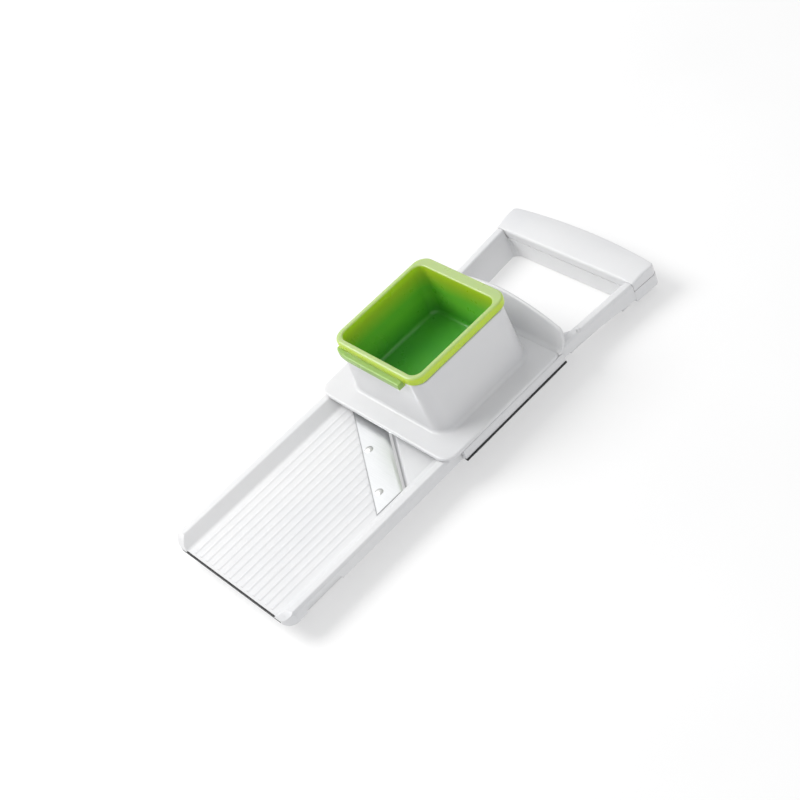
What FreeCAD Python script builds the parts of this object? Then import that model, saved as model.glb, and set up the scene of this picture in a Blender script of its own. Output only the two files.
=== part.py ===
import FreeCAD, Part
import math
import os

# Mandoline slicer: a ribbed tray with a slanting blade, side rails that run on
# into a handle, and a sliding food carriage with a square pusher cup.
# Units are millimetres. While a piece is drawn, Y is measured from the front
# edge; place() then moves it so that the origin is under the middle of the base.
# X is across (right positive), +Y is towards the handle, +Z is up.

Vec = FreeCAD.Vector

# Driving dimensions ---------------------------------------------------------
LENGTH = 340.0            # front edge to the crown of the handle bar
TRAY_TOP = 16.0           # tray surface above the table
TRAY_THICK = 2.2
TRAY_HALF = 44.8          # half width of the flat tray
WALL = 2.2                # wall of the body moulding
BODY_BASE = 1.0           # lowest edge of the body above the table

WEB_THICK = 2.0

RAIL_TOP = 22.0
RAIL_FLAT_IN = 52.6       # rail's flat top runs from here ...
RAIL_FLAT_OUT = 56.6      # ... to here
LIP_OUT = 58.6            # outer face of the hanging side lip
LIP_TOP = 20.2
LIP_BOTTOM = 12.8
LIP_THICK = 2.0
RAIL_END = 262.0          # the rail becomes a handle arm here
NOSE_LENGTH = 15.0        # the rail's front end slopes down over this length
CORNER_R = 9.0            # plan radius of the front corners
NOTCH_START = 15.0        # bowl notch in each lip
NOTCH_END = 45.0
NOTCH_TOP = 16.6

STRIP_DEPTH = 1.2         # soft strip let into the front edge
STRIP_HALF = 50.3
CROSS_WALLS = (11.0, 60.0)    # low walls that tie the webs together under the tray

RIB_PITCH = 6.0
RIB_COUNT = 14
RIB_WIDTH = 3.0
RIB_HEIGHT = 0.5

BLADE_THICK = 0.8
BLADE_UNDER = 15.6        # underside of the blade
BLADE_FRONT = 88.5        # front edge of the blade at the right end
BLADE_SLANT = 0.66        # how much Y grows for each mm towards the left
BLADE_WIDTH = 19.1        # across the blade, square to its edge
BLADE_OVERHANG = 4.6      # cutting edge beyond its seat
RIVETS = [(32.3, 102.3), (0.5, 123.3), (-31.3, 144.3)]
RIVET_R = 1.5
RIVET_HEAD_R = 2.8

THROAT = 4.0              # gap that the slices drop through
RUNUP_TOP = 14.6
RUNUP_THICK = 2.0
LIP_TIP = 9.4             # lowest edge of the lip at the plate's front
RUNUP_HALF = 44.2
RUNUP_REAR = 246.0
PIVOT_Y = 241.0
PIVOT_Z = 10.5
PIVOT_R = 1.5
RUNNING = 0.06            # radial clearance of the running fits

SHAFT_Y = 196.0
SHAFT_Z = 7.0
SHAFT_R = 2.5
CAM_R = 3.4
CAM_THROW = 0.6
CAM_X = 33.0
CAM_GAP = 0.3
WHEEL_IN = 47.3
WHEEL_OUT = 55.2
WHEEL_R = 6.0
CLIP_X = 47.1

ARM_REAR = 334.4          # where the arms meet the corners of the bar
ARM_OUT_FRONT = 58.6
ARM_OUT_REAR = 64.0
ARM_IN_FRONT = 52.4
ARM_IN_REAR = 57.4
ARM_FOOT_IN = 5.4         # the arm's inner face leans in by this much
ARM_LOFT_END = 3.0        # the arms stop this far short of the bar's corners, inside the bar
ARM_SHY = 0.1             # and are that much narrower than its ends
BAR_INNER = 313.2
BAR_CORNER_R = 8.0        # lower inner corners of the handle opening
BAR_SEAM = 15.4           # the cover sits on the bar at this height
BAR_SKIRT = 6.7           # lowest edge of the bar's outer wall
BAR_BOX = (54.6, 332.0)   # half width and rear of the box under the bar
BAR_CROWN = 24.2

SCREW_X = 24.0            # screws that hold the bar's cover
SCREW_Y = 326.0
SCREW_R = 1.5
STOP = (56.8, 265.0, 1.4)     # carriage stops on the arms: X, Y and radius

CARR_FRONT = 137.6
CARR_REAR = 247.0
CARR_HALF = 62.4
FLANGE_BOTTOM = 22.4
FLANGE_TOP = 24.9
HOPPER_Y = 193.2
HOPPER_TOP = 66.0
HOPPER_LOW = (46.0, 40.9, 12.0)    # half sizes and corner radius at the flange ...
HOPPER_HIGH = (40.1, 40.7, 9.0)    # ... and at the top
WELL_MID = 192.3          # the straight well inside the hopper sits a little forward
WELL_X = 37.9
WELL_Y = 38.6
WELL_R = 7.0
GUIDE_FRONT = 151.4
GUIDE_REAR = 245.0
GUIDE_IN = 59.1
GLIDE_BOTTOM = 13.7       # soft strip let into the foot of each shoe
GLIDE_TOP = 15.2
GLIDE_DEPTH = 1.5
GLIDE_PROUD = 0.5
HOOK_BOTTOM = 10.4
HOOK_LENGTH = 14.0
PEG_X = 60.7              # pegs that join the shoes to the flange
PEG_R = 1.2
GUARD_CREST = 43.0        # finger guard: middle, shoulders and thickness
GUARD_SHOULDER = 36.3
GUARD_THICK = 2.4
GUARD_LEAN = 0.62

CUP_TOP = 72.1
TAB_BOTTOM = 62.7
TAB_TOP = 67.3
CUP_RIM_MID = 194.1
CUP_RIM_X = 39.9
CUP_RIM_Y = 42.75
CUP_RIM_HEIGHT = 5.8
CUP_WALL_X = 37.3
CUP_WALL_Y = 38.0
CUP_IN_X = 36.1
CUP_IN_Y = 36.8
CUP_DRAFT = 1.5
CUP_FLOOR = 32.0
CUP_BOTTOM = 29.6
TOOTH_TIP = 17.6
TOOTH_ROOT = 20.8

FOOT_R = 5.0
FOOT_HEIGHT = 3.0
STUD_R = 1.8              # the foot's stud, pushed up into the body
STUD_LENGTH = 4.0
FRONT_FEET = (38.0, 24.0)
REAR_FEET = (47.0, 324.6)

SIDES = {"left": -1, "right": 1}

TRAY_UNDER = TRAY_TOP - TRAY_THICK
WEB_OUT = TRAY_HALF + WEB_THICK
BAR_ROOF = BAR_SEAM - WALL
ARM_SPREAD = (ARM_OUT_REAR - ARM_OUT_FRONT) / (ARM_REAR - RAIL_END)
PEG_Y = [GUIDE_FRONT + 12.0, (GUIDE_FRONT + GUIDE_REAR) / 2.0, GUIDE_REAR - 12.0]
HOOK_Y = [GUIDE_FRONT + 9.0, GUIDE_REAR - 23.0]


# Helpers ----------------------------------------------------------------------
def box(x0, x1, y0, y1, z0, z1):
    return Part.makeBox(x1 - x0, y1 - y0, z1 - z0, Vec(x0, y0, z0))


def rod(x, y, z, r, height):
    """A cylinder that stands up from (x, y, z)."""
    return Part.makeCylinder(r, height, Vec(x, y, z))


def rod_x(x0, x1, y, z, r):
    """A cylinder that lies along X."""
    return Part.makeCylinder(r, x1 - x0, Vec(x0, y, z), Vec(1, 0, 0))


def rounded_wire(points, to_space):
    """A closed outline of (a, b) or (a, b, radius) corners, put into space by to_space(a, b)."""
    flat = [Vec(p[0], p[1], 0) for p in points]
    radii = [p[2] if len(p) > 2 else 0.0 for p in points]
    count = len(flat)
    corners = []
    for i, corner in enumerate(flat):
        back = (flat[i - 1] - corner).normalize()
        ahead = (flat[(i + 1) % count] - corner).normalize()
        if radii[i] == 0.0:
            corners.append((corner, None, corner))
            continue
        half = back.getAngle(ahead) / 2.0
        inward = (back + ahead).normalize()
        centre = corner + inward * (radii[i] / math.sin(half))
        run = radii[i] / math.tan(half)
        corners.append((corner + back * run, centre - inward * radii[i], corner + ahead * run))
    edges = []
    for i, (first, middle, last) in enumerate(corners):
        space = [to_space(q.x, q.y) for q in (first, last, corners[(i + 1) % count][0])]
        if middle is not None:
            edges.append(Part.Arc(space[0], to_space(middle.x, middle.y), space[1]).toShape())
        edges.append(Part.makeLine(space[1], space[2]))
    return Part.Wire(edges)


def wire_xz(points, y):
    return rounded_wire(points, lambda a, b: Vec(a, y, b))


def prism_y(points, y0, y1):
    """An outline in X and Z, run along Y."""
    return Part.Face(wire_xz(points, y0)).extrude(Vec(0, y1 - y0, 0))


def prism_x(points, x0, x1):
    """An outline in Y and Z, run along X."""
    wire = rounded_wire(points, lambda a, b: Vec(x0, a, b))
    return Part.Face(wire).extrude(Vec(x1 - x0, 0, 0))


def prism_z(points, z0, z1):
    """An outline in X and Y, run up from z0 to z1."""
    wire = rounded_wire(points, lambda a, b: Vec(a, b, z0))
    return Part.Face(wire).extrude(Vec(0, 0, z1 - z0))


def round_wire(half_x, half_y, r, z, centre_y):
    """A rectangle with round corners, as a wire at height z."""
    edges = []
    corners = [(1, -1, -90), (1, 1, 0), (-1, 1, 90), (-1, -1, 180)]
    ends = []
    for sx, sy, start in corners:
        centre = Vec(sx * (half_x - r), centre_y + sy * (half_y - r), z)
        circle = Part.Circle(centre, Vec(0, 0, 1), r)
        arc = circle.toShape(math.radians(start), math.radians(start + 90))
        ends.append((arc, arc.valueAt(arc.FirstParameter), arc.valueAt(arc.LastParameter)))
    for i, (arc, first, last) in enumerate(ends):
        edges.append(arc)
        edges.append(Part.makeLine(last, ends[(i + 1) % 4][1]))
    return Part.Wire(edges)


def round_block(half_x, half_y, r, z0, z1, centre_y):
    face = Part.Face(round_wire(half_x, half_y, r, z0, centre_y))
    return face.extrude(Vec(0, 0, z1 - z0))


def taper_block(low, high, z0, z1, centre_y):
    """A round-cornered block whose (half x, half y, corner radius) changes from low to high."""
    bottom = round_wire(low[0], low[1], low[2], z0, centre_y)
    top = round_wire(high[0], high[1], high[2], z1, centre_y)
    return Part.makeLoft([bottom, top], True, True)


def mirrored(points, side):
    return [(side * p[0],) + tuple(p[1:]) for p in points]


def fuse(shapes):
    whole = shapes[0].multiFuse(shapes[1:]) if len(shapes) > 1 else shapes[0]
    return whole.removeSplitter()


def arc_cutter(start, middle, end, corner, x0, x1):
    """A bar along X whose outline is an arc in Y and Z closed through a corner."""
    p = [Vec(x0, *q) for q in (start, middle, end, corner)]
    edges = [Part.Arc(p[0], p[1], p[2]).toShape(), Part.makeLine(p[2], p[3]), Part.makeLine(p[3], p[0])]
    return Part.Face(Part.Wire(edges)).extrude(Vec(x1 - x0, 0, 0))


def slant(y_right, x):
    """Y of a line that runs along the blade and meets the right side at y_right."""
    return y_right + (TRAY_HALF - x) * BLADE_SLANT


def across(distance):
    """Distance along Y that matches a distance square to the blade."""
    return distance * math.hypot(1.0, BLADE_SLANT)


def edges_at(shape, z):
    """The edges that lie flat at height z."""
    return [e for e in shape.Edges if abs(e.BoundBox.ZMin - z) < 0.01 and abs(e.BoundBox.ZMax - z) < 0.01]


def round_upright(shape, r, test):
    """Fillet the upright edges whose middle passes the test."""
    chosen = []
    for edge in shape.Edges:
        size = edge.BoundBox
        upright = size.ZLength > 1.0 and size.XLength < 0.01 and size.YLength < 0.01
        if upright and test(edge.CenterOfMass):
            chosen.append(edge)
    return shape.makeFillet(r, chosen)


def place(shape):
    return shape.translated(Vec(0, -LENGTH / 2, 0))


BLADE_EDGE = BLADE_FRONT + across(BLADE_WIDTH)
SEAT_EDGE = BLADE_EDGE - across(BLADE_OVERHANG)
RUNUP_FRONT = BLADE_EDGE + across(THROAT)


# The body moulding ----------------------------------------------------------
def rail(side):
    """The flank beside the tray, the flat top that the carriage runs on and the hanging lip."""
    section = [
        (TRAY_HALF - 3.0, TRAY_TOP), (TRAY_HALF, TRAY_TOP, 4.0), (RAIL_FLAT_IN, RAIL_TOP, 2.5),
        (RAIL_FLAT_OUT + 0.6, RAIL_TOP, 1.2), (LIP_OUT, LIP_TOP, 1.2), (LIP_OUT, LIP_BOTTOM, 0.9),
        (LIP_OUT - LIP_THICK, LIP_BOTTOM, 0.9), (LIP_OUT - LIP_THICK, LIP_TOP - 0.6),
        (RAIL_FLAT_IN + 0.9, RAIL_TOP - WALL), (TRAY_HALF + 0.9, TRAY_UNDER), (TRAY_HALF - 3.0, TRAY_UNDER),
    ]
    return prism_y(mirrored(section, side), 0.0, RAIL_END)


def web(side):
    """The wall under each edge of the tray that the slicer stands on."""
    front = 8.0
    outline = [(front, TRAY_TOP - 2.0), (front + 12.0, BODY_BASE), (RAIL_END, BODY_BASE),
               (RAIL_END, TRAY_TOP - 2.0)]
    x0, x1 = sorted((side * TRAY_HALF, side * WEB_OUT))
    wall = prism_x(outline, x0, x1)
    gusset = [(TRAY_HALF, TRAY_UNDER), (WEB_OUT, TRAY_UNDER), (WEB_OUT, TRAY_UNDER + 1.4),
              (TRAY_HALF, TRAY_UNDER + 0.2)]
    return wall.fuse(prism_y(mirrored(gusset, side), front, RAIL_END))


def plan_block(inset, low, high):
    """The body seen from above, with its round front corners, moved in by inset."""
    block = box(inset - LIP_OUT, LIP_OUT - inset, inset, RAIL_END + 10.0, low, high)
    return round_upright(block, CORNER_R - inset, lambda c: c.y < inset + 1.0)


def front_corner(side):
    """At the front the lip turns the corner and runs into the edge of the tray."""
    start = TRAY_HALF - 3.0
    section = [(start, TRAY_UNDER + 1.0), (TRAY_HALF, TRAY_UNDER + 1.0), (RAIL_FLAT_IN, RAIL_TOP - 1.0),
               (RAIL_FLAT_OUT, RAIL_TOP - 1.0), (LIP_OUT, LIP_TOP - 1.0), (LIP_OUT, LIP_BOTTOM),
               (start, LIP_BOTTOM)]
    filled = prism_y(mirrored(section, side), 0.0, CORNER_R)
    return filled.cut(plan_block(LIP_THICK, 0.0, RAIL_TOP + 1.0))


def arm_section(side, out, inn, lip, y):
    foot = inn - ARM_FOOT_IN
    points = [
        (inn, RAIL_TOP, 1.6), (RAIL_FLAT_OUT + 0.6 + out - LIP_OUT, RAIL_TOP, 1.2), (out, LIP_TOP, 1.2),
        (out, lip, 0.9), (out - LIP_THICK, lip, 0.9), (out - LIP_THICK, RAIL_TOP - WALL),
        (inn + 1.7, RAIL_TOP - WALL), (foot + WALL, BODY_BASE, 0.6), (foot, BODY_BASE, 0.6),
    ]
    return wire_xz(mirrored(points, side), y)


def arm(side):
    """A handle arm: it spreads outwards and its lip grows deeper to the rear."""
    front = arm_section(side, ARM_OUT_FRONT, ARM_IN_FRONT, LIP_BOTTOM, RAIL_END)
    out = ARM_OUT_REAR - ARM_SPREAD * ARM_LOFT_END - ARM_SHY
    rear = arm_section(side, out, ARM_IN_REAR, BAR_SKIRT, ARM_REAR - ARM_LOFT_END)
    return Part.makeLoft([front, rear], True, True)


def bar_plan(inset, z):
    """The outline of the handle bar: straight inside, ends in line with the arms, bowed outside."""
    rear_half = ARM_OUT_REAR - inset
    front_half = rear_half - ARM_SPREAD * (ARM_REAR - BAR_INNER)
    inner = BAR_INNER + inset
    corner = ARM_REAR - inset
    crown = LENGTH - inset
    a, b = Vec(-front_half, inner, z), Vec(front_half, inner, z)
    c, d = Vec(rear_half, corner, z), Vec(-rear_half, corner, z)
    bow = Part.Arc(c, Vec(0, crown, z), d).toShape()
    wire = Part.Wire([Part.makeLine(a, b), Part.makeLine(b, c), bow, Part.makeLine(d, a)])
    return Part.Face(wire)


def foot_socket(x, y, roof):
    """The boss above a foot, and the hole for the foot's stud."""
    boss = rod(x, y, FOOT_HEIGHT, FOOT_R + 0.6, roof - FOOT_HEIGHT)
    return boss, rod(x, y, FOOT_HEIGHT - 0.5, STUD_R, STUD_LENGTH + 0.5)


def bar_tub():
    """The lower half of the bar: a roof with a skirt round it, and a box below that holds the feet."""
    half, rear = BAR_BOX
    outer = bar_plan(0.0, BAR_SKIRT).extrude(Vec(0, 0, BAR_SEAM - BAR_SKIRT))
    outer = round_upright(outer, 4.0, lambda c: c.y > ARM_REAR - 3.0)
    hollow = bar_plan(WALL, BAR_SKIRT - 1.0).extrude(Vec(0, 0, BAR_ROOF - BAR_SKIRT + 1.0))
    lower = prism_z([(-half, BAR_INNER), (half, BAR_INNER), (half, rear, 3.0), (-half, rear, 3.0)],
                    BODY_BASE, BAR_ROOF + 0.2)
    half, rear, front = half - WALL, rear - WALL, BAR_INNER + WALL
    room = prism_z([(-half, front), (half, front), (half, rear, 1.0), (-half, rear, 1.0)],
                   BODY_BASE - 1.0, BAR_ROOF)
    tub = outer.cut(hollow).fuse(lower).cut(room)
    for side in SIDES.values():
        boss, hole = foot_socket(side * REAR_FEET[0], REAR_FEET[1], BAR_ROOF + 0.5)
        tub = tub.fuse(boss).cut(hole)
        tub = tub.cut(rod(side * SCREW_X, SCREW_Y, BAR_ROOF - 1.0, SCREW_R, WALL + 2.0))
    return tub


def bar_corner(side):
    """The inner corner between an arm and the bar: sharp at the seam, round at the bottom."""
    def outline(r, z):
        up = (z - BODY_BASE) / (RAIL_TOP - BODY_BASE)
        inn = ARM_IN_REAR - ARM_FOOT_IN * (1.0 - up) - 1.4 * up
        points = [(inn + 3.0, BAR_INNER + 1.0), (inn + 3.0, BAR_INNER - r), (inn, BAR_INNER - r),
                  (inn, BAR_INNER, r - 0.1), (inn - r, BAR_INNER), (inn - r, BAR_INNER + 1.0)]
        wire = rounded_wire(mirrored(points, side), lambda a, b: Vec(a, b, z))
        return wire
    return Part.makeLoft([outline(BAR_CORNER_R, BODY_BASE), outline(0.8, BAR_SEAM - 0.4)], True, True)


def tray_ribs():
    ribs = []
    for i in range(RIB_COUNT):
        x = (i - (RIB_COUNT - 1) / 2.0) * RIB_PITCH
        end = slant(BLADE_FRONT, x) - 1.6
        half = RIB_WIDTH / 2.0
        section = [(x - half, TRAY_TOP - 0.3), (x + half, TRAY_TOP - 0.3), (x + half, TRAY_TOP),
                   (x, TRAY_TOP + RIB_HEIGHT * 1.3, 2.4), (x - half, TRAY_TOP)]
        ribs.append(prism_y(section, 3.0, end))
    return ribs


def body_frame():
    """Tray, rails, handle arms and the lower half of the bar in one moulding."""
    tray = box(-TRAY_HALF, TRAY_HALF, 0.0, RAIL_END, TRAY_UNDER, TRAY_TOP)
    deck_front = RUNUP_REAR + 0.8
    throat = prism_z([(-TRAY_HALF, slant(SEAT_EDGE, -TRAY_HALF)), (TRAY_HALF, SEAT_EDGE),
                      (TRAY_HALF, deck_front), (-TRAY_HALF, deck_front)], TRAY_UNDER - 1.0, TRAY_TOP + 1.0)
    seat = prism_z([(-TRAY_HALF, slant(BLADE_FRONT - 0.2, -TRAY_HALF)), (TRAY_HALF, BLADE_FRONT - 0.2),
                    (TRAY_HALF, BLADE_EDGE), (-TRAY_HALF, slant(BLADE_EDGE, -TRAY_HALF))],
                   BLADE_UNDER, TRAY_TOP + 1.0)
    pieces = [tray] + tray_ribs()
    for side in SIDES.values():
        pieces += [rail(side), web(side), front_corner(side)]
    shell = fuse(pieces).cut(throat).cut(seat)

    # Front end: round corners in plan, the rails' ends slope down, a round toe below
    wide = LIP_OUT + 1.0
    shell = shell.common(plan_block(0.0, -1.0, RAIL_TOP + 3.0))
    nose = arc_cutter((-0.1, TRAY_TOP + 0.2), (4.0, TRAY_TOP + 4.3), (NOSE_LENGTH, RAIL_TOP),
                      (-0.1, RAIL_TOP), -wide, wide)
    ceiling = box(-wide, wide, -0.1, NOSE_LENGTH, RAIL_TOP - 0.02, RAIL_TOP + 2.0)
    toe = arc_cutter((-0.1, TRAY_UNDER), (2.0, LIP_BOTTOM + 0.25), (8.0, LIP_BOTTOM),
                     (-0.1, LIP_BOTTOM - 1.0), -wide, wide)
    shell = shell.cut(nose).cut(ceiling).cut(toe)
    groove = STRIP_HALF + 0.2
    shell = shell.cut(box(-groove, groove, -0.1, STRIP_DEPTH, TRAY_UNDER - 1.2, TRAY_TOP - 0.1))

    # The bowl notches
    for side in SIDES.values():
        x0, x1 = sorted((side * (LIP_OUT - LIP_THICK - 0.5), side * (LIP_OUT + 1.0)))
        notch = box(x0, x1, NOTCH_START, NOTCH_END, LIP_BOTTOM - 1.0, NOTCH_TOP)
        along = [e for e in notch.Edges
                 if abs(e.CenterOfMass.z - NOTCH_TOP) < 0.01 and e.BoundBox.XLength > 1.0]
        shell = shell.cut(notch.makeFillet(3.2, along))

    # The deck behind the run-up plate, and the wall of the handle opening
    reach = TRAY_HALF + 1.0
    deck = box(-reach, reach, deck_front, RAIL_END, TRAY_UNDER, TRAY_TOP)
    wall = box(-reach, reach, RAIL_END - WALL, RAIL_END, BODY_BASE, TRAY_TOP)
    cross = [box(-reach, reach, y, y + WEB_THICK, FOOT_HEIGHT + 0.5, TRAY_UNDER + 0.5) for y in CROSS_WALLS]
    joins = []
    for side in SIDES.values():
        flank = [(TRAY_HALF, BODY_BASE), (TRAY_HALF, TRAY_TOP), (RAIL_FLAT_IN, RAIL_TOP),
                 (RAIL_FLAT_IN + 1.6, RAIL_TOP), (ARM_IN_FRONT - ARM_FOOT_IN + WALL, BODY_BASE)]
        joins.append(prism_y(mirrored(flank, side), RAIL_END - WALL, RAIL_END))
    arms = [arm(s) for s in SIDES.values()] + [bar_corner(s) for s in SIDES.values()]
    frame = fuse([shell, deck, wall, bar_tub()] + cross + joins + arms)

    # Room for the bar's cover, the carriage stops, feet, pins and shaft
    frame = frame.cut(box(-ARM_OUT_REAR, ARM_OUT_REAR, BAR_INNER - 0.15, LENGTH + 1.0, BAR_SEAM, RAIL_TOP + 3.0))
    for side in SIDES.values():
        stop = rod(side * STOP[0], STOP[1], RAIL_TOP - 1.0, STOP[2], 2.6)
        boss, hole = foot_socket(side * FRONT_FEET[0], FRONT_FEET[1], TRAY_UNDER + 0.5)
        frame = frame.fuse(stop).fuse(boss).cut(hole)
        x0, x1 = sorted((side * (TRAY_HALF - 1.0), side * (TRAY_HALF + 3.0)))
        frame = frame.cut(rod_x(x0, x1, PIVOT_Y, PIVOT_Z, PIVOT_R))
        frame = frame.cut(rod_x(x0, x1, SHAFT_Y, SHAFT_Z, SHAFT_R + RUNNING))
    for x, y in RIVETS:
        frame = frame.cut(rod(x, y, TRAY_UNDER - 1.0, RIVET_R, 4.0))
    return frame


def front_strip():
    """A soft black strip let into the front edge."""
    strip = box(-STRIP_HALF, STRIP_HALF, 0.0, STRIP_DEPTH, TRAY_UNDER, TRAY_TOP - 0.1)
    return strip.common(plan_block(0.0, 0.0, RAIL_TOP))


def handle_cover():
    """The domed cap of the handle bar, hollow below, with two screw bosses."""
    def block(inset, low, drop):
        tall = bar_plan(inset, low).extrude(Vec(0, 0, 12.0))
        if inset < 1.0:
            tall = round_upright(tall, 4.0, lambda c: c.y > ARM_REAR - 3.0)
        side = RAIL_TOP - drop
        crown = BAR_CROWN - drop
        y0, y1 = BAR_INNER - 0.1, LENGTH + 0.1
        dome = arc_cutter((y0, side), ((y0 + y1) / 2.0, crown), (y1, side - 0.6), (y0, side - 0.7), -70, 70)
        base = box(-70, 70, y0, y1, low, side - 0.6)
        return tall.common(base.fuse(dome))
    cover = block(0.1, BAR_SEAM, 0.0).cut(block(0.1 + WALL, BAR_SEAM - 1.0, WALL))
    for side in SIDES.values():
        boss = rod(side * SCREW_X, SCREW_Y, BAR_SEAM, 4.0, 7.4)
        cover = cover.fuse(boss).cut(rod(side * SCREW_X, SCREW_Y, BAR_SEAM - 1.0, SCREW_R, 6.0))
    return cover.removeSplitter()


def handle_screws():
    """The two slotted screws that hold the cover, driven in from below."""
    head_r, head_height = 2.8, 1.8
    screws = []
    for side in SIDES.values():
        x = side * SCREW_X
        shank = rod(x, SCREW_Y, BAR_ROOF, SCREW_R, 6.6)
        head = rod(x, SCREW_Y, BAR_ROOF - head_height, head_r, head_height)
        slot = box(x - head_r - 0.1, x + head_r + 0.1, SCREW_Y - 0.4, SCREW_Y + 0.4,
                   BAR_ROOF - head_height - 0.2, BAR_ROOF - 1.0)
        screws.append(shank.fuse(head).cut(slot))
    return Part.makeCompound(screws)


def foot(x, y):
    """A rubber foot: a pad with a soft lower edge, and its stud."""
    pad = rod(x, y, 0.0, FOOT_R, FOOT_HEIGHT)
    pad = pad.makeFillet(0.8, [e for e in pad.Edges if e.CenterOfMass.z < 0.1 and e.BoundBox.ZLength < 0.1])
    return pad.fuse(rod(x, y, FOOT_HEIGHT - 0.1, STUD_R, STUD_LENGTH + 0.1))


# Blade --------------------------------------------------------------------------
def blade():
    """A flat steel blade, ground to an edge at the back, set across the tray."""
    section = [(0.0, BLADE_UNDER), (BLADE_WIDTH - 0.2, BLADE_UNDER), (BLADE_WIDTH, BLADE_UNDER + 0.15),
               (BLADE_WIDTH - 2.6, BLADE_UNDER + BLADE_THICK), (0.0, BLADE_UNDER + BLADE_THICK)]
    half = TRAY_HALF - 0.2
    plate = along_blade(section, BLADE_FRONT).common(box(-half, half, 0.0, LENGTH, 0.0, 30.0))
    for x, y in RIVETS:
        plate = plate.cut(rod(x, y, BLADE_UNDER - 1.0, RIVET_R, 4.0))
    return plate


def blade_rivets():
    """Three rivets with low domed heads; their tails are set under the tray."""
    rivets = []
    top = BLADE_UNDER + BLADE_THICK
    tail_r, rise = 2.4, 0.7
    ball_r = (RIVET_HEAD_R ** 2 + rise ** 2) / (2.0 * rise)
    for x, y in RIVETS:
        ball = Part.makeSphere(ball_r, Vec(x, y, top + rise - ball_r))
        head = ball.common(rod(x, y, top, RIVET_HEAD_R, 2.0))
        tail = rod(x, y, TRAY_UNDER - rise, tail_r, rise)
        shank = rod(x, y, TRAY_UNDER - 0.2, RIVET_R, top + 0.3 - TRAY_UNDER)
        rivets.append(shank.fuse(head).fuse(tail).removeSplitter())
    return Part.makeCompound(rivets)


# Run-up plate and thickness control -----------------------------------------------
def along_blade(section, front):
    """An outline in Y and Z, run along the blade and trimmed at the sides. Its Y starts at front."""
    reach = 200.0
    bar = prism_x(section, -reach, reach)
    bar.rotate(Vec(0, 0, 0), Vec(0, 0, 1), -math.degrees(math.atan(BLADE_SLANT)))
    bar.translate(Vec(TRAY_HALF, front, 0))
    return bar


def runup_lip():
    """The front of the run-up plate turns down and leads the slices away."""
    section = [(0.3, RUNUP_TOP), (-3.2, LIP_TIP + 0.5, 0.4), (-3.0, LIP_TIP, 0.3), (-1.9, LIP_TIP),
               (0.9, RUNUP_TOP - RUNUP_THICK), (2.0, RUNUP_TOP - RUNUP_THICK), (2.0, RUNUP_TOP)]
    return along_blade(section, RUNUP_FRONT).common(box(-RUNUP_HALF, RUNUP_HALF, 0.0, LENGTH, 0.0, 30.0))


def runup_plate():
    """The plate behind the throat: it pivots at its rear and rests on the two cams."""
    low = RUNUP_TOP - RUNUP_THICK
    outline = [(-RUNUP_HALF, slant(RUNUP_FRONT, -RUNUP_HALF)), (RUNUP_HALF, slant(RUNUP_FRONT, RUNUP_HALF)),
               (RUNUP_HALF, RUNUP_REAR), (-RUNUP_HALF, RUNUP_REAR)]
    pieces = [prism_z(outline, low, RUNUP_TOP)]
    rib_low = SHAFT_Z + CAM_R + CAM_GAP
    for side in SIDES.values():
        x = side * CAM_X
        pieces.append(box(x - 1.5, x + 1.5, SHAFT_Y - 10.0, RUNUP_REAR - 4.0, rib_low, low + 0.2))
        x0, x1 = sorted((side * RUNUP_HALF, side * (RUNUP_HALF - 2.2)))
        ear = [(PIVOT_Y - 14.0, low + 0.2), (PIVOT_Y - 3.4, PIVOT_Z - 3.0), (PIVOT_Y + 3.4, PIVOT_Z - 3.0),
               (PIVOT_Y + 4.6, low + 0.2)]
        pieces.append(prism_x(ear, x0, x1))
    pieces.append(runup_lip())
    plate = fuse(pieces)
    for side in SIDES.values():
        x0, x1 = sorted((side * (RUNUP_HALF + 1.0), side * (RUNUP_HALF - 3.0)))
        plate = plate.cut(rod_x(x0, x1, PIVOT_Y, PIVOT_Z, PIVOT_R + RUNNING))
    return plate


def runup_pin(side):
    """A steel pin pressed into the web, with a head outside it."""
    x0, x1 = sorted((side * (RUNUP_HALF - 2.6), side * WEB_OUT))
    h0, h1 = sorted((side * WEB_OUT, side * (WEB_OUT + 1.0)))
    pin = rod_x(x0, x1, PIVOT_Y, PIVOT_Z, PIVOT_R)
    return pin.fuse(rod_x(h0, h1, PIVOT_Y, PIVOT_Z, 2.6)).removeSplitter()


def thickness_shaft():
    """The cross shaft, with two cams that carry the run-up plate."""
    pieces = [rod_x(-WHEEL_IN, CLIP_X + 1.8, SHAFT_Y, SHAFT_Z, SHAFT_R)]
    pieces.append(rod_x(-WHEEL_OUT + 2.4, -WHEEL_IN + 0.1, SHAFT_Y, SHAFT_Z, 2.0))
    for side in SIDES.values():
        x = side * CAM_X
        pieces.append(rod_x(x - 3.0, x + 3.0, SHAFT_Y + CAM_THROW, SHAFT_Z, CAM_R))
    shaft = fuse(pieces)
    groove = rod_x(CLIP_X, CLIP_X + 0.8, SHAFT_Y, SHAFT_Z, SHAFT_R + 1.0)
    groove = groove.cut(rod_x(CLIP_X - 1, CLIP_X + 2, SHAFT_Y, SHAFT_Z, 2.0))
    pilot = rod_x(-WHEEL_OUT, -WHEEL_IN + 3.0, SHAFT_Y, SHAFT_Z, 0.9)
    return shaft.cut(groove).cut(pilot)


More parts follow.
